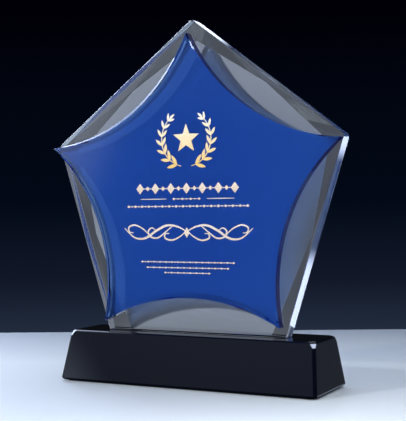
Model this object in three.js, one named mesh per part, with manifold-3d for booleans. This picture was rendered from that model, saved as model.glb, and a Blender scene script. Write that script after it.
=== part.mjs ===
// Star trophy: a blue star plate bonded to the front of a clear pentagon plate, on a black crystal base.
// Millimetres, +Z up, front towards -Y. The origin is the middle of the footprint, on the resting surface.
import * as THREE from "three";
import { ConvexGeometry } from "three/addons/geometries/ConvexGeometry.js";
import { mergeVertices } from "three/addons/utils/BufferGeometryUtils.js";
import Module from "manifold-3d";

const wasm = await Module();
wasm.setup();

// Base block: a tapered block of black crystal, with every edge ground off.
const BASE_WIDTH = 180;
const BASE_DEPTH = 55;
const BASE_HEIGHT = 32;
const BASE_SIDE_TAPER = 3.6; // how far each end leans in, foot to top
const BASE_FACE_TAPER = 7.9; // how far the front and the back lean in, foot to top
const BASE_CORNER_CUT = 1.7; // each leg of the cut along an upright edge
const BASE_TOP_CHAMFER = 0.8;
const BASE_FOOT_CHAMFER = 1;
const CORNER_FACET_HEIGHT = 3.6; // the little facet that closes each upright edge at the top
const CORNER_FACET_CUT = 3.4; // each leg of that facet at the top face

// Pad: a foam sheet glued under the base.
const PAD_THICKNESS = 1;
const PAD_INSET = 2.5; // from the foot of the base
const PAD_CORNER_RADIUS = 3;

// Pentagon plate: clear crystal, flat in front, with a shallow faceted crown at the back.
const PLATE_WIDTH = 203.6; // across the shoulders
const PLATE_HEIGHT = 201.3; // foot to apex
const SHOULDER_HEIGHT = 123.6; // foot to shoulders
const FOOT_WIDTH = 126.2;
const WALL_DEPTH = 10.5; // the polished wall around the plate, front to back
const CROWN_DEPTH = 2; // how far the flat of the back stands behind the wall
const CROWN_EDGE_INSET = 4.4; // from the middle of each edge to the flat of the back
const CROWN_CORNER_INSET = 12.4; // from each corner to the flat of the back, along the corner's bisector
const PLATE_CORNER_FLAT = 1.1; // length ground off each side of an upper corner
const PLATE_FRONT = -7.7; // y of the plate's front face

// Star plate: blue crystal with five concave sides.
const STAR_THICKNESS = 8.6;
const STAR_TOP_MARGIN = 9.2; // its top tip below the pentagon's apex
const STAR_SIDE_MARGIN = -0.3; // its side tips inside the pentagon's shoulders
const STAR_SIDE_DROP = 2; // its side tips below the shoulders
const STAR_FOOT_MARGIN = 0.5; // its lower tips inside the pentagon's foot corners
const STAR_FOOT_RISE = 6.2; // its lower tips above the pentagon's foot
const STAR_SIDE_SAG = 17; // how deep each side curves in
const STAR_TIP_FLAT = 0.8; // length ground off each side of a tip

// Clear adhesive, and the clearance left on each face of a film and of a print.
const FILM_THICKNESS = 0.2;
const FILM_INSET = 0.5; // the adhesive stops short of the edges that it bonds
const FACE_CLEARANCE = 0.02;

// Gold print on the star's front. It is drawn for a star of this height, and is scaled with the star.
const PRINT_THICKNESS = 0.15;
const PRINT_STAR_HEIGHT = 186;
const LAUREL_RADIUS = 17.6; // of the branches' stems
const LAUREL_MIDDLE = 118; // heights in the print are above the star's lower tips
const LAUREL_LEAF_PAIRS = 7;
const LAUREL_STEM_WIDTH = 0.7;
const LAUREL_STAR_RADIUS = 9.6;
const TITLE_HEIGHT_ABOVE = 86.7;
const RULE_HEIGHT_ABOVE = 80;
const BEADED_LINE_ABOVE = 75.3;
const FLOURISH_ABOVE = 58.6;
const FINE_LINES_ABOVE = [39.8, 36.2, 33];
const FINE_LINE_LENGTHS = [67, 59, 33];

// Worked out from the dimensions above.
const baseTop = PAD_THICKNESS + BASE_HEIGHT;
const plateFoot = baseTop + FILM_THICKNESS + 2 * FACE_CLEARANCE;
const wallBack = PLATE_FRONT + WALL_DEPTH;
const crownBack = wallBack + CROWN_DEPTH;
const starBack = PLATE_FRONT - FILM_THICKNESS - 2 * FACE_CLEARANCE;
const starFront = starBack - STAR_THICKNESS;
const starFootHeight = plateFoot + STAR_FOOT_RISE;
const starTopHeight = plateFoot + PLATE_HEIGHT - STAR_TOP_MARGIN;
const printScale = (starTopHeight - starFootHeight) / PRINT_STAR_HEIGHT;

const blackCrystal = { color: 0x14171f, roughness: 0.05, metalness: 0 };
const clearCrystal = { color: 0xdfe8ea, roughness: 0.03, metalness: 0, transparent: true, opacity: 0.35 };
const blueCrystal = { color: 0x1f4da8, roughness: 0.03, metalness: 0, transparent: true, opacity: 0.85 };
const clearAdhesive = { color: 0xf2f4f5, roughness: 0.1, metalness: 0, transparent: true, opacity: 0.3 };
const blackFoam = { color: 0x101011, roughness: 0.95, metalness: 0 };
const goldPrint = { color: 0xe9c98a, roughness: 0.4, metalness: 0.6 };

const trophy = new THREE.Group();

// Adds one named piece to the trophy.
function addPiece(name, geometry, finish) {
  const mesh = new THREE.Mesh(geometry, new THREE.MeshStandardMaterial(finish));
  mesh.name = name;
  trophy.add(mesh);
  return mesh;
}

// A convex body through the given points.
function convexBody(points) {
  return new ConvexGeometry(points.map(([x, y, z]) => new THREE.Vector3(x, y, z)));
}

// A flat outline, drawn as (x, z) seen from the front, made into a body between two depths.
function standingBody(outline, front, back, curveSegments = 8) {
  const shape = Array.isArray(outline) ? new THREE.Shape(outline) : outline;
  const options = { depth: back - front, bevelEnabled: false, curveSegments };
  const geometry = new THREE.ExtrudeGeometry(shape, options);
  return geometry.rotateX(Math.PI / 2).translate(0, back, 0);
}

// Joins bodies that overlap into one.
function joinBodies(geometries) {
  const solids = geometries.map((geometry) => {
    const bare = geometry.clone();
    bare.deleteAttribute("normal");
    bare.deleteAttribute("uv");
    const merged = mergeVertices(bare, 1e-4);
    const vertProperties = new Float32Array(merged.attributes.position.array);
    const triVerts = new Uint32Array(merged.index.array);
    return new wasm.Manifold(new wasm.Mesh({ numProp: 3, vertProperties, triVerts }));
  });
  const joined = solids.reduce((whole, solid) => whole.add(solid)).getMesh();
  const geometry = new THREE.BufferGeometry();
  geometry.setAttribute("position", new THREE.BufferAttribute(joined.vertProperties, 3));
  geometry.setIndex(new THREE.BufferAttribute(joined.triVerts, 1));
  return geometry;
}

// A level rectangle with its corners cut off, as eight points.
function cutRectangle(width, depth, cut, z) {
  const corners = [];
  for (const x of [-1, 1]) {
    for (const y of [-1, 1]) {
      corners.push([x * (width / 2 - cut), (y * depth) / 2, z]);
      corners.push([(x * width) / 2, y * (depth / 2 - cut), z]);
    }
  }
  return corners;
}

// The base: five levels of the same tapered outline. The foot and the top are set in by their chamfers.
function baseBlock() {
  const level = (height, cut, inset = 0) => {
    const lean = height / BASE_HEIGHT;
    const width = BASE_WIDTH - 2 * (BASE_SIDE_TAPER * lean + inset);
    const depth = BASE_DEPTH - 2 * (BASE_FACE_TAPER * lean + inset);
    return cutRectangle(width, depth, cut, PAD_THICKNESS + height);
  };
  return convexBody([
    ...level(0, BASE_CORNER_CUT, BASE_FOOT_CHAMFER),
    ...level(BASE_FOOT_CHAMFER, BASE_CORNER_CUT),
    ...level(BASE_HEIGHT - CORNER_FACET_HEIGHT, BASE_CORNER_CUT),
    ...level(BASE_HEIGHT - BASE_TOP_CHAMFER, CORNER_FACET_CUT),
    ...level(BASE_HEIGHT, CORNER_FACET_CUT, BASE_TOP_CHAMFER),
  ]);
}

// The pad: a rounded rectangle lying under the base.
function basePad() {
  const halfWidth = BASE_WIDTH / 2 - BASE_FOOT_CHAMFER - PAD_INSET;
  const halfDepth = BASE_DEPTH / 2 - BASE_FOOT_CHAMFER - PAD_INSET;
  const radius = PAD_CORNER_RADIUS;
  const shape = new THREE.Shape();
  shape.absarc(halfWidth - radius, halfDepth - radius, radius, 0, Math.PI / 2);
  shape.absarc(radius - halfWidth, halfDepth - radius, radius, Math.PI / 2, Math.PI);
  shape.absarc(radius - halfWidth, radius - halfDepth, radius, Math.PI, 1.5 * Math.PI);
  shape.absarc(halfWidth - radius, radius - halfDepth, radius, 1.5 * Math.PI, 2 * Math.PI);
  const options = { depth: PAD_THICKNESS, bevelEnabled: false, curveSegments: 3 };
  return new THREE.ExtrudeGeometry(shape, options);
}

// The point at a distance from one point towards another.
function pointTowards(from, to, distance) {
  return to.clone().sub(from).setLength(distance).add(from);
}

// The pentagon's corners as (x, z), clockwise from the apex.
function pentagonCorners() {
  const shoulder = plateFoot + SHOULDER_HEIGHT;
  return [
    new THREE.Vector2(0, plateFoot + PLATE_HEIGHT),
    new THREE.Vector2(PLATE_WIDTH / 2, shoulder),
    new THREE.Vector2(FOOT_WIDTH / 2, plateFoot),
    new THREE.Vector2(-FOOT_WIDTH / 2, plateFoot),
    new THREE.Vector2(-PLATE_WIDTH / 2, shoulder),
  ];
}

// The clear plate. The flat of its back reaches nearest to the edges at their middles, so that each edge has
// one long triangular facet and each corner two slender ones. The foot is glued down and has no facet.
function pentagonPlate() {
  const corners = pentagonCorners();
  const isFoot = (corner) => corner.y === plateFoot;
  const outline = [];
  const flat = [];
  corners.forEach((corner, i) => {
    const next = corners[(i + 1) % 5];
    const last = corners[(i + 4) % 5];
    if (isFoot(corner)) {
      outline.push(corner);
      flat.push(pointTowards(corner, isFoot(next) ? next : last, CROWN_CORNER_INSET));
    } else {
      outline.push(pointTowards(corner, last, PLATE_CORNER_FLAT), pointTowards(corner, next, PLATE_CORNER_FLAT));
      const inwards = pointTowards(corner, next, 1).add(pointTowards(corner, last, 1)).multiplyScalar(0.5);
      flat.push(pointTowards(corner, inwards, CROWN_CORNER_INSET));
    }
    if (!(isFoot(corner) && isFoot(next))) {
      const along = next.clone().sub(corner).normalize();
      const middle = corner.clone().add(next).multiplyScalar(0.5);
      flat.push(middle.add(new THREE.Vector2(along.y, -along.x).multiplyScalar(CROWN_EDGE_INSET)));
    }
  });
  const level = (points, y) => points.map((point) => [point.x, y, point.y]);
  const body = [...level(outline, PLATE_FRONT), ...level(outline, wallBack), ...level(flat, crownBack)];
  return convexBody(body);
}

// The star's outline: an arc between each two tips, all five set in from the pentagon's corners. Inset makes
// a smaller outline inside the first one.
function starOutline(inset = 0) {
  const side = PLATE_WIDTH / 2 - STAR_SIDE_MARGIN - inset;
  const foot = FOOT_WIDTH / 2 - STAR_FOOT_MARGIN - inset;
  const tips = [
    new THREE.Vector2(0, starTopHeight - inset),
    new THREE.Vector2(side, plateFoot + SHOULDER_HEIGHT - STAR_SIDE_DROP),
    new THREE.Vector2(foot, starFootHeight + inset),
    new THREE.Vector2(-foot, starFootHeight + inset),
    new THREE.Vector2(-side, plateFoot + SHOULDER_HEIGHT - STAR_SIDE_DROP),
  ];
  const shape = new THREE.Shape();
  tips.forEach((tip, i) => {
    const next = tips[(i + 1) % 5];
    const chord = next.clone().sub(tip);
    const half = chord.length() / 2;
    const sag = STAR_SIDE_SAG + inset;
    const radius = (half * half + sag * sag) / (2 * sag);
    const outwards = new THREE.Vector2(-chord.y, chord.x).normalize();
    const centre = tip.clone().add(next).multiplyScalar(0.5).addScaledVector(outwards, radius - sag);
    const trim = STAR_TIP_FLAT / radius;
    const from = tip.clone().sub(centre).angle() + trim;
    const to = next.clone().sub(centre).angle() - trim;
    shape.absarc(centre.x, centre.y, radius, from, to, false);
  });
  return shape;
}

// A closed outline along the middle line, half a width to each side. The width swells from its ends.
function strokeOutline(curve, steps, endWidth, middleWidth) {
  const left = [];
  const right = [];
  for (let i = 0; i <= steps; i += 1) {
    const t = i / steps;
    const at = curve.getPoint(t);
    const along = curve.getTangent(t);
    const half = (endWidth + (middleWidth - endWidth) * Math.sin(Math.PI * t)) / 2;
    left.push(new THREE.Vector2(at.x - along.y * half, at.y + along.x * half));
    right.unshift(new THREE.Vector2(at.x + along.y * half, at.y - along.x * half));
  }
  return [...left, ...right];
}

// Places a flat print outline, drawn in print millimetres around the star's middle line and its lower tips.
function printBody(outline, curveSegments = 4) {
  const back = starFront - FACE_CLEARANCE;
  const geometry = standingBody(outline, back - PRINT_THICKNESS, back, curveSegments);
  return geometry.scale(printScale, 1, printScale).translate(0, 0, starFootHeight);
}

// One laurel leaf: two curves that meet in a point at each end.
function leafOutline(x, z, angle, length, width) {
  const turn = (u, v) => {
    const c = Math.cos(angle);
    const s = Math.sin(angle);
    return new THREE.Vector2(x + u * c - v * s, z + u * s + v * c);
  };
  const leaf = new THREE.Shape();
  const tip = turn(length, 0);
  const upper = turn(length * 0.45, width);
  const lower = turn(length * 0.45, -width);
  leaf.moveTo(x, z);
  leaf.quadraticCurveTo(lower.x, lower.y, tip.x, tip.y);
  leaf.quadraticCurveTo(upper.x, upper.y, x, z);
  return leaf;
}

// One laurel branch: a curved stem with pairs of leaves that shrink towards its tip.
function laurelBranch(side) {
  const stemFrom = -78;
  const stemTo = 48;
  const onStem = (degrees) => {
    const angle = THREE.MathUtils.degToRad(degrees);
    return new THREE.Vector2(
      side * LAUREL_RADIUS * Math.cos(angle),
      LAUREL_MIDDLE + LAUREL_RADIUS * Math.sin(angle),
    );
  };
  const stemPoints = [];
  for (let degrees = stemFrom; degrees <= stemTo; degrees += 9) {
    stemPoints.push(onStem(degrees));
  }
  const stem = new THREE.SplineCurve(stemPoints);
  const bodies = [printBody(strokeOutline(stem, 18, LAUREL_STEM_WIDTH * 0.7, LAUREL_STEM_WIDTH))];
  for (let pair = 0; pair < LAUREL_LEAF_PAIRS; pair += 1) {
    const share = pair / (LAUREL_LEAF_PAIRS - 1);
    const degrees = THREE.MathUtils.lerp(stemFrom + 10, stemTo - 6, share);
    const root = onStem(degrees);
    const growth = THREE.MathUtils.degToRad(side > 0 ? degrees + 90 : 90 - degrees);
    const length = THREE.MathUtils.lerp(7.6, 5.2, share);
    const width = THREE.MathUtils.lerp(2.3, 1.6, share);
    for (const spread of [-0.62, 0.62]) {
      bodies.push(printBody(leafOutline(root.x, root.y, growth + spread, length, width), 5));
    }
  }
  const end = onStem(stemTo - 1);
  const endGrowth = THREE.MathUtils.degToRad(side > 0 ? stemTo + 92 : 88 - stemTo);
  bodies.push(printBody(leafOutline(end.x, end.y, endGrowth, 5, 1.6), 5));
  return joinBodies(bodies);
}

// A five-pointed star between the branches.
function laurelStar() {
  const points = [];
  for (let i = 0; i < 10; i += 1) {
    const radius = i % 2 ? LAUREL_STAR_RADIUS * 0.42 : LAUREL_STAR_RADIUS;
    const angle = Math.PI / 2 + (i * Math.PI) / 5;
    points.push(new THREE.Vector2(radius * Math.cos(angle), LAUREL_MIDDLE + radius * Math.sin(angle)));
  }
  return printBody(points);
}

// A row of lozenges on a thread. Every second one is drawn smaller by the given share.
function lozengeRow(length, height, count, lozengeHeight, lozengeWidth, thread, smaller) {
  const upper = [new THREE.Vector2(-length / 2, thread / 2)];
  for (let i = 0; i < count; i += 1) {
    const share = i % 2 ? smaller : 1;
    const x = (length - lozengeWidth) * (i / (count - 1) - 0.5);
    const reach = Math.min((lozengeWidth * share) / 2, lozengeWidth / 2 - thread / 4);
    upper.push(new THREE.Vector2(x - reach, thread / 2));
    upper.push(new THREE.Vector2(x, (lozengeHeight * share) / 2));
    upper.push(new THREE.Vector2(x + reach, thread / 2));
  }
  upper.push(new THREE.Vector2(length / 2, thread / 2));
  const lower = upper.map((point) => new THREE.Vector2(point.x, -point.y)).reverse();
  return printBody([...upper, ...lower].map((point) => new THREE.Vector2(point.x, point.y + height)));
}

// A short rule that tapers to both ends.
function rule(from, to) {
  const middle = new THREE.LineCurve(
    new THREE.Vector2(from, RULE_HEIGHT_ABOVE),
    new THREE.Vector2(to, RULE_HEIGHT_ABOVE),
  );
  return printBody(strokeOutline(middle, 6, 0.3, 0.55));
}

// The flourish: an ornament of pen strokes, the same to the left and the right of a lozenge.
function flourish() {
  const strokes = [
    { points: [[-1, 0], [6, 3.6], [14, 4.6], [22, 1.2], [30, -3.6], [38, -3.4], [45.8, 2.8]], width: 1.5 },
    { points: [[10, 4.4], [15, 0.6], [21, -3.4], [26.5, -2.6], [28, 0.8], [25.4, 3], [22.8, 1.6]], width: 1.1 },
    { points: [[27, -1.9], [32, 2.4], [38, 4.8], [42.4, 3.4], [42, 0.4], [39, -0.2]], width: 1 },
    { points: [[1, 0.6], [5, -2.6], [10.5, -4.8], [15.6, -3.6], [15.4, -0.8], [12.6, -0.6]], width: 1.1 },
  ];
  const bodies = [];
  for (const side of [-1, 1]) {
    for (const stroke of strokes) {
      const points = stroke.points.map(([x, z]) => new THREE.Vector2(side * x, z + FLOURISH_ABOVE));
      bodies.push(printBody(strokeOutline(new THREE.SplineCurve(points), 26, 0.45, stroke.width)));
    }
  }
  const lozenge = [[0, 3.4], [-2, 0], [0, -3.4], [2, 0]];
  bodies.push(printBody(lozenge.map(([x, z]) => new THREE.Vector2(x, z + FLOURISH_ABOVE))));
  return joinBodies(bodies);
}

addPiece("base_pad", basePad(), blackFoam);
addPiece("base_block", baseBlock(), blackCrystal);
const footHalf = FOOT_WIDTH / 2 - FILM_INSET;
const filmDepth = WALL_DEPTH - 2 * FILM_INSET;
const footFilm = new THREE.BoxGeometry(2 * footHalf, filmDepth, FILM_THICKNESS);
addPiece("base_bond_film", footFilm, clearAdhesive)
  .position.set(0, PLATE_FRONT + WALL_DEPTH / 2, baseTop + FACE_CLEARANCE + FILM_THICKNESS / 2);
addPiece("pentagon_plate", pentagonPlate(), clearCrystal);
const filmFront = starBack + FACE_CLEARANCE;
const starFilm = standingBody(starOutline(FILM_INSET), filmFront, filmFront + FILM_THICKNESS, 10);
addPiece("star_bond_film", starFilm, clearAdhesive);
addPiece("star_plate", standingBody(starOutline(), starFront, starBack, 12), blueCrystal);

addPiece("laurel_branch_left", laurelBranch(-1), goldPrint);
addPiece("laurel_branch_right", laurelBranch(1), goldPrint);
addPiece("laurel_star", laurelStar(), goldPrint);
addPiece("title_band", lozengeRow(73, TITLE_HEIGHT_ABOVE, 13, 7, 5.4, 0.5, 0.45), goldPrint);
addPiece("rule_left", rule(-33.4, -14.4), goldPrint);
addPiece("rule_right", rule(14.4, 33.4), goldPrint);
addPiece("rule_beads", lozengeRow(20, RULE_HEIGHT_ABOVE, 7, 1.7, 2, 0.3, 0.6), goldPrint);
addPiece("beaded_line", lozengeRow(87, BEADED_LINE_ABOVE, 35, 1.9, 2.2, 0.3, 0.6), goldPrint);
addPiece("flourish", flourish(), goldPrint);
["upper", "middle", "lower"].forEach((place, i) => {
  const length = FINE_LINE_LENGTHS[i];
  const count = 2 * Math.round(length / 4.4) + 1;
  const row = lozengeRow(length, FINE_LINES_ABOVE[i], count, 1.3, 1.9, 0.3, 0.6);
  addPiece(`fine_line_${place}`, row, goldPrint);
});

export default trophy;
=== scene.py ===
# Star trophy: a blue star plate bonded to a clear pentagon plate, on a black crystal base.
# Metres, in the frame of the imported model: +Z up, front towards -Y.
import math

import bmesh
import bpy
from mathutils import Matrix, Vector


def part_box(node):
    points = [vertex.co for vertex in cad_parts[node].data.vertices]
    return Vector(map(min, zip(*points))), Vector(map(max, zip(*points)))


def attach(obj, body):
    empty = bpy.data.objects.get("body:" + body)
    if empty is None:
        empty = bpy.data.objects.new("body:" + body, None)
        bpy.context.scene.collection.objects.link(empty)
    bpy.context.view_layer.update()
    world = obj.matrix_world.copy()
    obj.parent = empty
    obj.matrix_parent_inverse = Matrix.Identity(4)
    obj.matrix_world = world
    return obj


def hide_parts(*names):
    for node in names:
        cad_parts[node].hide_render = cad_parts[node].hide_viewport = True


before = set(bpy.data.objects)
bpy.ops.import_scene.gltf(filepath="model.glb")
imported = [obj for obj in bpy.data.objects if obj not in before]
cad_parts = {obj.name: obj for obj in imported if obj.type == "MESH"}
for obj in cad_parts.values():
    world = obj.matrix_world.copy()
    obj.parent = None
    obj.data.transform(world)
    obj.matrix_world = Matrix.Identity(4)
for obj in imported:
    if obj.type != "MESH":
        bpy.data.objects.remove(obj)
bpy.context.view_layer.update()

MM = 0.001

# The star plate. Its tips are (x, height above the pentagon's foot), as cut, in millimetres.
STAR_TOP = (0.0, 192.1)
STAR_SIDE = (102.1, 121.6)
STAR_FOOT = (62.6, 6.2)
STAR_SIDE_SAG = 17.0  # how deep each side curves in
STAR_TIP_FLAT = 0.8  # ground off each side of a tip
STAR_CHAMFER = 1.1  # the ground edge around both faces
BOND_MARGIN = 1.6  # the adhesive wets the faces to this far inside the star's edge
ARC_STEPS = 64  # flats along each curved side
SMOOTH_TURN = math.radians(12)  # an edge of the star that turns less than this is shaded smooth
WALL_FACING = 0.5  # a face of the star that faces front or back less than this is a wall

# The other pieces, in millimetres.
PLATE_CHAMFER = 0.25  # the ground edges of the pentagon plate
BASE_ARRIS = 0.25  # the edges of the base, eased on the polishing wheel
SAME_CORNER = 0.002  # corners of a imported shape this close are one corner
SAME_FLAT = math.radians(0.4)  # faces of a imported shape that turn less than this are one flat

CRYSTAL_IOR = 1.52

# The camera stands to the right of the front, level with the middle of the trophy.
CAMERA_PLACE = (0.3012, -0.5924, 0.1119)
VIEW_YAW = math.radians(26.7)  # how far round to the right of the front it stands
VIEW_ROLL = math.radians(-0.5)
LENS = 87.8  # millimetres
SENSOR_WIDTH = 36.0  # millimetres

# The table, measured from the trophy along the line of sight, and across it.
TABLE_NEAR = -1.5
TABLE_FAR = 0.289
TABLE_WIDTH = 4.0
PAINTED_SHADE_START = 0.1  # from here painted shade greys the board towards its far edge

# The backdrop. A direction's height is its Z as a unit vector, and each colour stands at a share of
# the way from the lower height to the upper one.
BACKDROP_LOW = -0.12
BACKDROP_HIGH = 0.19
BACKDROP = [
    (0.0, "#242e3f"),
    (0.05, "#1f2839"),
    (0.17, "#121828"),
    (0.42, "#030916"),
    (0.73, "#020611"),
    (1.0, "#010006"),
]

EVEN_LIGHT = (0.56, 0.61, 0.69, 1.0)  # what falls on matt and satin surfaces from all round

# The glows in the room: those that the crystal refracts, by where they are, and those that glossy
# faces mirror, by what they light. Each is (azimuth, elevation, core, reach, strength), as glow()
# takes them, and one of negative strength dims what is there.
SEEN_THROUGH_EVEN = 0.06
SEEN_THROUGH_COLOUR = "#e4e8fe"
SEEN_THROUGH = [
    (-153, 1, 2, 8, -0.05),  # three small ones straight behind the plates, which mottle them
    (-161.5, 4, 1, 5, -0.06),
    (-158, -6, 1, 5, 0.06),
    (-150, 0, 14, 30, 0.09),  # the wall behind the plates
    (-60, 15, 5, 60, 0.08),  # the front left
    (60, 20, 5, 60, 0.12),  # the front right
    (165, 12, 8, 26, 0.2),  # behind, a little to the right
    (120, 10, 8, 30, 0.3),  # behind, far to the right
    (0, 80, 10, 60, 0.15),  # overhead
    (0, -70, 10, 55, 0.1),  # underfoot
]
MIRRORED_EVEN = 0.01
MIRRORED_COLOUR = "#cfdcf8"
MIRRORED = [
    (-27, 30, 8, 26, 0.34),  # the base's front
    (-42, 7, 3, 12, 3.4),  # the sheen on the star's upper left
    (-112, 31, 18, 32, 10.0),  # the line along the star's upper left chamfer
    (159, -5.5, 2.5, 5, 0.12),  # the base's right side
    (165.5, -17, 2.5, 4, 6.0),  # the bottom of the pentagon's right wall
    (162, -6.5, 1, 2.2, 6.0),  # the top of the same wall
    (-159, 23.5, 3.5, 5.0, 4.0),  # the pentagon's upper right wall, near its apex
    (84, 51, 4, 9, 18.0),  # the facet at the base's front right corner
]


# ---------------------------------------------------------------- materials


def linear(hex_colour):
    """Turns an sRGB hex colour into linear red, green, blue and alpha."""
    channels = [int(hex_colour[i : i + 2], 16) / 255 for i in (1, 3, 5)]
    return tuple(c / 12.92 if c <= 0.04045 else ((c + 0.055) / 1.055) ** 2.4 for c in channels) + (1.0,)


def add_node(tree, kind, settings=None, links=None):
    """Adds a node. A setting is one of its properties or the value of a socket, and a link feeds a
    socket."""
    node = tree.nodes.new(kind)
    for name, value in (settings or {}).items():
        if isinstance(name, str) and hasattr(node, name):
            setattr(node, name, value)
        else:
            node.inputs[name].default_value = value
    for name, source in (links or {}).items():
        tree.links.new(source, node.inputs[name])
    return node


def new_tree(name):
    """An empty node material, and its tree."""
    material = bpy.data.materials.new(name)
    material.use_nodes = True
    material.node_tree.nodes.clear()
    return material, material.node_tree


def crystal(name, polish, lamps="#ffffff", tint=None, density=0, walls=None):
    """Crystal with polished faces, which lets lamps light what is behind it, in the colour given for
    lamps. Faces marked as bonded are wetted by adhesive and don't show. With a colour for its walls,
    faces marked as walls take that dark colour as painted shade, and stop the lamps."""
    material, tree = new_tree(name)
    glass = {"Roughness": 0.0, "IOR": CRYSTAL_IOR, "Transmission Weight": 1.0, **polish}
    face = add_node(tree, "ShaderNodeBsdfPrincipled", glass)
    clear = add_node(tree, "ShaderNodeBsdfTransparent")
    bonded = add_node(tree, "ShaderNodeAttribute", {"attribute_name": "bonded"})
    path = add_node(tree, "ShaderNodeLightPath")
    let_by = path.outputs["Is Shadow Ray"]
    if walls:
        wall = add_node(tree, "ShaderNodeAttribute", {"attribute_name": "wall"})
        # Painted shade: the wall faces take a dark tint in place of the shade they show.
        painted_wall_shade = add_node(tree, "ShaderNodeMix",
                         {"data_type": "RGBA", 6: glass["Base Color"], 7: walls},
                         {"Factor": wall.outputs["Fac"]})
        tree.links.new(painted_wall_shade.outputs[2], face.inputs["Base Color"])
        faces_only = add_node(tree, "ShaderNodeMath", {"operation": "SUBTRACT", "use_clamp": True},
                              {0: let_by, 1: wall.outputs["Fac"]})
        let_by = faces_only.outputs[0]
    lit = add_node(tree, "ShaderNodeBsdfTransparent", {"Color": linear(lamps)})
    opened = add_node(tree, "ShaderNodeMixShader", None,
                      {0: let_by, 1: face.outputs["BSDF"], 2: lit.outputs["BSDF"]})
    either = add_node(tree, "ShaderNodeMixShader", None,
                      {0: bonded.outputs["Fac"], 1: opened.outputs["Shader"], 2: clear.outputs["BSDF"]})
    output = add_node(tree, "ShaderNodeOutputMaterial", None, {"Surface": either.outputs["Shader"]})
    if density:
        depth = add_node(tree, "ShaderNodeVolumeAbsorption", {"Color": tint, "Density": density})
        tree.links.new(depth.outputs["Volume"], output.inputs["Volume"])
    return material


def clear_crystal():
    """Optical crystal, cut and polished: it flashes at its ground edges and is faintly cyan along its
    length."""
    return crystal("clear_crystal_polished", {"Base Color": linear("#f4fdfd")})


def lapped_crystal():
    """The flat of the plate's back, lapped to a pale grey bloom: it takes the light that comes in at
    the front, and shows grey beside the star."""
    return crystal("clear_crystal_lapped", {"Base Color": linear("#bcc2d0"), "Transmission Weight": 0.25})


def blue_crystal():
    """Cobalt crystal, polished: royal blue through its face and nearly black along its length. Its
    walls are tinted nearly black by painted shade."""
    # The dark colour given for the walls is painted shade.
    return crystal("cobalt_crystal_polished", {"Base Color": linear("#ffffff")}, lamps="#a6aeba",
                   tint=linear("#72c6f8"), density=200.0, walls=linear("#030640"))


def clear_adhesive():
    """Cured clear adhesive between two crystal faces: it holds a milky bloom, uneven in patches about
    60 mm across, which the crystal over it turns blue."""
    material, tree = new_tree("clear_adhesive_cured")
    place = add_node(tree, "ShaderNodeTexCoord")
    flow = add_node(tree, "ShaderNodeTexNoise", {"Scale": 1 / (60 * MM)},
                    {"Vector": place.outputs["Object"]})
    share = add_node(tree, "ShaderNodeMapRange", {"To Min": 0.46, "To Max": 0.52},
                     {"Value": flow.outputs["Fac"]})
    clear = add_node(tree, "ShaderNodeBsdfTransparent")
    bloom = add_node(tree, "ShaderNodeBsdfPrincipled",
                     {"Base Color": linear("#f4f4fa"), "Roughness": 1.0, "Specular IOR Level": 0.0})
    film = add_node(tree, "ShaderNodeMixShader", None,
                    {0: share.outputs["Result"], 1: clear.outputs["BSDF"], 2: bloom.outputs["BSDF"]})
    add_node(tree, "ShaderNodeOutputMaterial", None, {"Surface": film.outputs["Shader"]})
    return material


def foot_adhesive():
    """The same adhesive squeezed thin on black crystal: the black shows through it without a shine,
    in streaks about 6 mm across."""
    material, tree = new_tree("clear_adhesive_on_black")
    place = add_node(tree, "ShaderNodeTexCoord")
    streaks = add_node(tree, "ShaderNodeTexNoise", {"Scale": 1 / (6 * MM)},
                       {"Vector": place.outputs["Object"]})
    shade = add_node(tree, "ShaderNodeMix",
                     {"data_type": "RGBA", 6: linear("#020305"), 7: linear("#07090d")},
                     {"Factor": streaks.outputs["Fac"]})
    film = add_node(tree, "ShaderNodeBsdfPrincipled", {"Roughness": 0.5, "Specular IOR Level": 0.0},
                    {"Base Color": shade.outputs[2]})
    add_node(tree, "ShaderNodeOutputMaterial", None, {"Surface": film.outputs["BSDF"]})
    return material


def black_crystal():
    """Black crystal, ground and polished: a black mirror, a little uneven where the polishing wheel
    has passed, in patches about 22 mm across."""
    material, tree = new_tree("black_crystal_polished")
    place = add_node(tree, "ShaderNodeTexCoord")
    wheel = add_node(tree, "ShaderNodeTexNoise", {"Scale": 1 / (22 * MM), "Detail": 2.0},
                     {"Vector": place.outputs["Object"]})
    haze = add_node(tree, "ShaderNodeMapRange", {"To Min": 0.015, "To Max": 0.05},
                    {"Value": wheel.outputs["Fac"]})
    body = add_node(tree, "ShaderNodeBsdfPrincipled",
                    {"Base Color": linear("#070a14"), "IOR": CRYSTAL_IOR},
                    {"Roughness": haze.outputs["Result"]})
    add_node(tree, "ShaderNodeOutputMaterial", None, {"Surface": body.outputs["BSDF"]})
    return material


def black_foam():
    """Closed-cell foam sheet, cut: dead matt black, with a skin pitted by cells about 0.35 mm
    across."""
    material, tree = new_tree("black_foam_cut")
    place = add_node(tree, "ShaderNodeTexCoord")
    cells = add_node(tree, "ShaderNodeTexVoronoi", {"Scale": 1 / (0.35 * MM)},
                     {"Vector": place.outputs["Object"]})
    pits = add_node(tree, "ShaderNodeBump", {"Strength": 0.5, "Distance": 0.1 * MM},
                    {"Height": cells.outputs["Distance"]})
    shade = add_node(tree, "ShaderNodeMix",
                     {"data_type": "RGBA", 6: linear("#0c0c0d"), 7: linear("#1a1a1c")},
                     {"Factor": cells.outputs["Distance"]})
    body = add_node(tree, "ShaderNodeBsdfPrincipled", {"Roughness": 0.95},
                    {"Base Color": shade.outputs[2], "Normal": pits.outputs["Normal"]})
    add_node(tree, "ShaderNodeOutputMaterial", None, {"Surface": body.outputs["BSDF"]})
    return material


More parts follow.
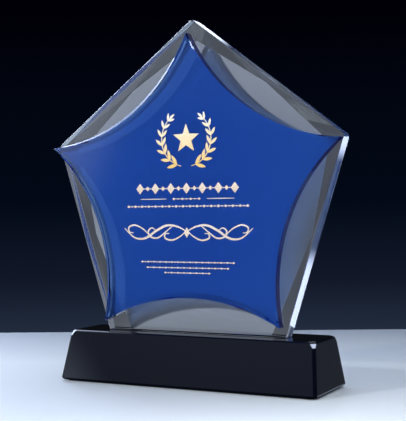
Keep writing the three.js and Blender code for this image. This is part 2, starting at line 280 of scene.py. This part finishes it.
def gold_ink(name, lower, upper, box):
    """Screen-printed gold ink: satin, with a grain of about 0.25 mm, and one gold at its foot running
    into another at its top. The box is the print's own, and gives the foot and the top."""
    material, tree = new_tree(name)
    place = add_node(tree, "ShaderNodeTexCoord")
    split = add_node(tree, "ShaderNodeSeparateXYZ", None, {"Vector": place.outputs["Object"]})
    height = add_node(tree, "ShaderNodeMapRange", {"From Min": box[0].z, "From Max": box[1].z},
                      {"Value": split.outputs["Z"]})
    shade = add_node(tree, "ShaderNodeMix", {"data_type": "RGBA", 6: linear(lower), 7: linear(upper)},
                     {"Factor": height.outputs["Result"]})
    grain = add_node(tree, "ShaderNodeTexNoise", {"Scale": 1 / (0.25 * MM), "Detail": 3.0},
                     {"Vector": place.outputs["Object"]})
    bump = add_node(tree, "ShaderNodeBump", {"Strength": 0.2, "Distance": 0.03 * MM},
                    {"Height": grain.outputs["Fac"]})
    ink = add_node(tree, "ShaderNodeBsdfPrincipled", {"Roughness": 0.5},
                   {"Base Color": shade.outputs[2], "Normal": bump.outputs["Normal"]})
    add_node(tree, "ShaderNodeOutputMaterial", None, {"Surface": ink.outputs["BSDF"]})
    return material


def pale_board():
    """Lacquered board under the trophy: a cool near-white, satin, with a soft mottle of about 90 mm,
    and painted shade that greys it towards its far edge."""
    material, tree = new_tree("pale_lacquered_board")
    place = add_node(tree, "ShaderNodeTexCoord")
    mottle = add_node(tree, "ShaderNodeTexNoise", {"Scale": 1 / (90 * MM), "Detail": 3.0},
                      {"Vector": place.outputs["Object"]})
    shade = add_node(tree, "ShaderNodeMix",
                     {"data_type": "RGBA", 6: linear("#dde6ef"), 7: linear("#e8eff6")},
                     {"Factor": mottle.outputs["Fac"]})
    turn = add_node(tree, "ShaderNodeMapping",
                    {"vector_type": "TEXTURE", "Rotation": (0.0, 0.0, VIEW_YAW)},
                    {"Vector": place.outputs["Object"]})
    split = add_node(tree, "ShaderNodeSeparateXYZ", None, {"Vector": turn.outputs["Vector"]})
    # Painted shade: the board's colour greys towards its far edge, where its light falls off.
    rim = add_node(tree, "ShaderNodeMapRange",
                   {"From Min": PAINTED_SHADE_START, "From Max": TABLE_FAR, "To Max": 0.95},
                   {"Value": split.outputs["Y"]})
    shade = add_node(tree, "ShaderNodeMix", {"data_type": "RGBA", 7: linear("#8f99a8")},
                     {"Factor": rim.outputs["Result"], 6: shade.outputs[2]})
    board = add_node(tree, "ShaderNodeBsdfPrincipled", {"Roughness": 0.45},
                     {"Base Color": shade.outputs[2]})
    add_node(tree, "ShaderNodeOutputMaterial", None, {"Surface": board.outputs["BSDF"]})
    return material


# ------------------------------------------------------------------- pieces


def add_piece(name, work, *materials):
    """Makes a piece from finished mesh work."""
    mesh = bpy.data.meshes.new(name)
    work.to_mesh(mesh)
    work.free()
    for material in materials:
        mesh.materials.append(material)
    piece = bpy.data.objects.new(name, mesh)
    bpy.context.collection.objects.link(piece)
    return piece


def node_work(node):
    """A node's shape as mesh work, with its corners joined and its flat faces made whole."""
    work = bmesh.new()
    work.from_mesh(bpy.data.objects[node].data)
    bmesh.ops.remove_doubles(work, verts=work.verts, dist=SAME_CORNER * MM)
    bmesh.ops.dissolve_limit(work, angle_limit=SAME_FLAT, verts=work.verts, edges=work.edges)
    return work


def ease_edges(work, width, segments):
    """Takes off every edge to a width in millimetres, as a flat or as a rounding of more segments."""
    bmesh.ops.bevel(work, geom=work.edges, offset=width * MM, offset_type="OFFSET", affect="EDGES",
                    segments=segments, profile=0.5, material=-1, clamp_overlap=True)


def star_outline(work, depth, inset):
    """The star's outline at a depth as a loop of edges: five arcs, each swept about its own centre,
    with a short ground flat between each two. Inset moves the tips in and makes the arcs that much
    deeper."""
    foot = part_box("pentagon_plate")[0].z
    side_x, side_z = STAR_SIDE[0] - inset, STAR_SIDE[1]
    foot_x, foot_z = STAR_FOOT[0] - inset, STAR_FOOT[1] + inset
    tips = [(0.0, STAR_TOP[1] - inset), (side_x, side_z), (foot_x, foot_z), (-foot_x, foot_z),
            (-side_x, side_z)]
    tips = [Vector((x * MM, depth, foot + z * MM)) for x, z in tips]
    sag = (STAR_SIDE_SAG + inset) * MM
    loop = []
    ends = []
    for tip, after in zip(tips, tips[1:] + tips[:1]):
        chord = after - tip
        radius = (chord.length**2 / 4 + sag**2) / (2 * sag)
        outwards = Vector((-chord.z, 0, chord.x)).normalized()
        centre = (tip + after) / 2 + outwards * (radius - sag)
        trim = STAR_TIP_FLAT * MM / radius
        sweep = 2 * math.asin(chord.length / 2 / radius) - 2 * trim
        trimmed = Matrix.Rotation(-trim, 3, "Y") @ (tip - centre) + centre
        first = work.verts.new(trimmed)
        swept = bmesh.ops.spin(work, geom=[first], cent=centre, axis=(0, -1, 0), angle=sweep,
                               steps=ARC_STEPS)
        last = swept["geom_last"][0]
        ends.append((first, last))
        loop += find_chain(first)
    for (_, last), (first, _) in zip(ends, ends[1:] + ends[:1]):
        loop.append(work.edges.new((last, first)))
    return loop


def find_chain(first):
    """The edges that run on from one end of a swept arc."""
    chain = []
    vert = first
    while True:
        onwards = [edge for edge in vert.link_edges if edge not in chain]
        if not onwards:
            return chain
        chain.append(onwards[0])
        vert = onwards[0].other_vert(vert)


def mark_bonded(work, faces):
    """Marks the faces that adhesive wets."""
    layer = work.faces.layers.float["bonded"]
    for face in faces:
        face[layer] = 1.0


def star_plate(material):
    """The star: polished walls between two ground chamfers, wetted by the adhesive at its back."""
    low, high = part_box("star_plate")
    chamfer = STAR_CHAMFER * MM
    work = bmesh.new()
    work.faces.layers.float.new("bonded")
    wall = work.faces.layers.float.new("wall")
    bond = star_outline(work, high.y, BOND_MARGIN)
    levels = [
        bond,
        star_outline(work, high.y, STAR_CHAMFER),
        star_outline(work, high.y - chamfer, 0.0),
        star_outline(work, low.y + chamfer, 0.0),
        star_outline(work, low.y, STAR_CHAMFER),
    ]
    for one, next_one in zip(levels, levels[1:]):
        bmesh.ops.bridge_loops(work, edges=one + next_one)
    wetted = bmesh.ops.contextual_create(work, geom=bond)["faces"]
    bmesh.ops.contextual_create(work, geom=levels[-1])
    bmesh.ops.recalc_face_normals(work, faces=work.faces)
    mark_bonded(work, wetted)
    for face in work.faces:
        face[wall] = 1.0 if abs(face.normal.y) < WALL_FACING else 0.0
        face.smooth = True
    for edge in work.edges:
        edge.smooth = edge.calc_face_angle(0.0) < SMOOTH_TURN
    return add_piece("blue_star", work, material)


def pentagon_plate(polished, lapped):
    """The pentagon: its edges ground to fine chamfers, its front wetted under the star, and its foot
    wetted all over."""
    front_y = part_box("pentagon_plate")[0].y
    work = node_work("pentagon_plate")
    work.faces.layers.float.new("bonded")
    ease_edges(work, PLATE_CHAMFER, 1)
    front = max(work.faces, key=lambda face: -face.normal.y * face.calc_area())
    foot = max(work.faces, key=lambda face: -face.normal.z * face.calc_area())
    rim = list(front.edges)
    bmesh.ops.delete(work, geom=[front], context="FACES_ONLY")
    bond = star_outline(work, front_y, BOND_MARGIN)
    bmesh.ops.triangle_fill(work, edges=rim + bond, use_beauty=True)
    wetted = bmesh.ops.contextual_create(work, geom=bond)["faces"]
    bmesh.ops.recalc_face_normals(work, faces=work.faces)
    mark_bonded(work, wetted + [foot])
    back = max(work.faces, key=lambda face: face.normal.y * face.calc_area())
    back.material_index = 1
    # The fill leaves its faces in no fixed order, so they are put in one.
    for place, face in enumerate(sorted(work.faces, key=lambda face: face.calc_center_median()[:])):
        face.index = place
    work.faces.sort()
    return add_piece("clear_pentagon", work, polished, lapped)


def base_block(material):
    """The base: its edges eased on the wheel, so that each one catches a fine line of light."""
    work = node_work("base_block")
    ease_edges(work, BASE_ARRIS, 2)
    bmesh.ops.recalc_face_normals(work, faces=work.faces)
    return add_piece("black_base", work, material)


# -------------------------------------------------------------------- stage


def camera():
    """Sets up the camera, level but for a slight roll."""
    data = bpy.data.cameras.new("camera")
    data.sensor_width = SENSOR_WIDTH
    data.lens = LENS
    holder = bpy.data.objects.new("camera", data)
    level = Matrix.Rotation(math.radians(90), 4, "X")
    roll = Matrix.Rotation(VIEW_ROLL, 4, "Z")
    turn = Matrix.Rotation(VIEW_YAW, 4, "Z") @ level @ roll
    holder.matrix_world = Matrix.Translation(CAMERA_PLACE) @ turn
    bpy.context.collection.objects.link(holder)
    bpy.context.scene.camera = holder


def table():
    """The board that the trophy stands on. Its far edge runs square to the line of sight."""
    work = bmesh.new()
    bmesh.ops.create_grid(work, x_segments=1, y_segments=1, size=0.5)
    bmesh.ops.scale(work, vec=(TABLE_WIDTH, TABLE_FAR - TABLE_NEAR, 1.0), verts=work.verts)
    bmesh.ops.translate(work, vec=(0, (TABLE_FAR + TABLE_NEAR) / 2, 0), verts=work.verts)
    bmesh.ops.rotate(work, matrix=Matrix.Rotation(VIEW_YAW, 3, "Z"), verts=work.verts)
    board = add_piece("table", work, pale_board())
    board.visible_glossy = False


def glow(tree, towards, azimuth, elevation, core, reach, strength):
    """How bright a round soft glow in the room is. Azimuth is measured from the front towards the
    right; core and reach are the angles from its centre at which it starts to fade and ends, all in
    degrees."""
    turn, rise = math.radians(azimuth), math.radians(elevation)
    centre = (math.sin(turn) * math.cos(rise), -math.cos(turn) * math.cos(rise), math.sin(rise))
    nearness = add_node(tree, "ShaderNodeVectorMath", {"operation": "DOT_PRODUCT", 1: centre},
                        {0: towards})
    fade = {"interpolation_type": "SMOOTHSTEP", "From Min": math.cos(math.radians(reach)),
            "From Max": math.cos(math.radians(core)), "To Max": strength}
    return add_node(tree, "ShaderNodeMapRange", fade, {"Value": nearness.outputs["Value"]}).outputs["Result"]


def glows(tree, towards, even, centres, colour):
    """The sum of an even light and some glows, in one colour. The first sum starts from the even
    light, and each later one from the sum before it."""
    total = None
    for centre in centres:
        so_far = add_node(tree, "ShaderNodeMath", {"operation": "ADD", 0: even},
                          {1: glow(tree, towards, *centre)})
        if total:
            tree.links.new(total, so_far.inputs[0])
        total = so_far.outputs[0]
    tinted = add_node(tree, "ShaderNodeVectorMath", {"operation": "SCALE", 0: linear(colour)[:3]},
                      {"Scale": total})
    return tinted.outputs["Vector"]


def room():
    """The room: dark navy behind, paling towards the table. The crystal refracts a softly lit grey
    studio and mirrors a few dim panels, and even light falls on everything else."""
    world = bpy.data.worlds.new("room")
    bpy.context.scene.world = world
    world.use_nodes = True
    tree = world.node_tree
    tree.nodes.clear()
    place = add_node(tree, "ShaderNodeTexCoord")
    towards = place.outputs["Generated"]
    split = add_node(tree, "ShaderNodeSeparateXYZ", None, {"Vector": towards})
    height = add_node(tree, "ShaderNodeMapRange",
                      {"From Min": BACKDROP_LOW, "From Max": BACKDROP_HIGH},
                      {"Value": split.outputs["Z"]})
    backdrop = add_node(tree, "ShaderNodeValToRGB", None, {"Fac": height.outputs["Result"]})
    ramp = backdrop.color_ramp.elements
    while len(ramp) < len(BACKDROP):
        ramp.new(0.5)
    for element, (position, colour) in zip(ramp, BACKDROP):
        element.position = position
        element.color = linear(colour)
    path = add_node(tree, "ShaderNodeLightPath")
    refracted = glows(tree, towards, SEEN_THROUGH_EVEN, SEEN_THROUGH, SEEN_THROUGH_COLOUR)
    mirrored = glows(tree, towards, MIRRORED_EVEN, MIRRORED, MIRRORED_COLOUR)
    shades = backdrop.outputs["Color"]
    for kind, light in (("Is Glossy Ray", mirrored), ("Is Transmission Ray", refracted)):
        either = add_node(tree, "ShaderNodeMix", {"data_type": "RGBA"},
                          {"Factor": path.outputs[kind], 6: shades, 7: light})
        shades = either.outputs[2]
    even = add_node(tree, "ShaderNodeMix", {"data_type": "RGBA", 7: EVEN_LIGHT},
                    {"Factor": path.outputs["Is Diffuse Ray"], 6: shades})
    light = add_node(tree, "ShaderNodeBackground", None, {"Color": even.outputs[2]})
    add_node(tree, "ShaderNodeOutputWorld", None, {"Surface": light.outputs["Background"]})


def soft_light(name, location, target, size, power, spread):
    """A square soft light aimed at a point, spread in degrees. The crystal doesn't mirror it."""
    data = bpy.data.lights.new(name, "AREA")
    data.shape = "SQUARE"
    data.size = size
    data.energy = power
    data.spread = math.radians(spread)
    light = bpy.data.objects.new(name, data)
    light.location = location
    light.rotation_euler = (Vector(target) - Vector(location)).to_track_quat("-Z", "Y").to_euler()
    light.visible_camera = light.visible_glossy = light.visible_transmission = False
    bpy.context.collection.objects.link(light)


# Light crosses many faces of crystal before it leaves the trophy.
scene = bpy.context.scene
scene.view_settings.view_transform = "Standard"
scene.cycles.max_bounces = 32
scene.cycles.glossy_bounces = 24
scene.cycles.transmission_bounces = 32
scene.cycles.transparent_max_bounces = 64

camera()
table()
room()
# The key light comes from the front left, and the other one brightens the table at the right.
soft_light("key_light", location=(-0.6, -1.1, 0.45), target=(0, 0, 0.1), size=0.05, power=8.6,
           spread=180)
soft_light("table_light", location=(0.17, -0.22, 0.5), target=(0.17, -0.2199, 0.0), size=0.2,
           power=0.36, spread=50)

pieces = [
    (star_plate(blue_crystal()), "star_plate", "blue_crystal"),
    (pentagon_plate(clear_crystal(), lapped_crystal()), "pentagon_plate", "clear_crystal"),
    (base_block(black_crystal()), "base_block", "black_crystal"),
]
for piece, node, slot in pieces:
    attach(piece, "root")
    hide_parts(node)

# The laurels and the star between them share one run of gold. Every other print has its own.
finishes = {"base_pad": black_foam(), "base_bond_film": foot_adhesive(), "star_bond_film": clear_adhesive()}
for node in ("laurel_branch_left", "laurel_branch_right", "laurel_star"):
    finishes[node] = gold_ink(f"gold_ink_{node}", "#f2c66e", "#fdf3dc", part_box("laurel_branch_left"))
for node in ("title_band", "rule_left", "rule_right", "rule_beads", "beaded_line", "flourish",
             "fine_line_upper", "fine_line_middle", "fine_line_lower"):
    finishes[node] = gold_ink(f"gold_ink_{node}", "#dcc4ae", "#ecd9c6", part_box(node))

# The print and the adhesive under the star are films, so they cast no shadow in the crystal.
for node, finish in finishes.items():
    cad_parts[node].material_slots[0].material = finish
    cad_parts[node].visible_shadow = node in ("base_pad", "base_bond_film")
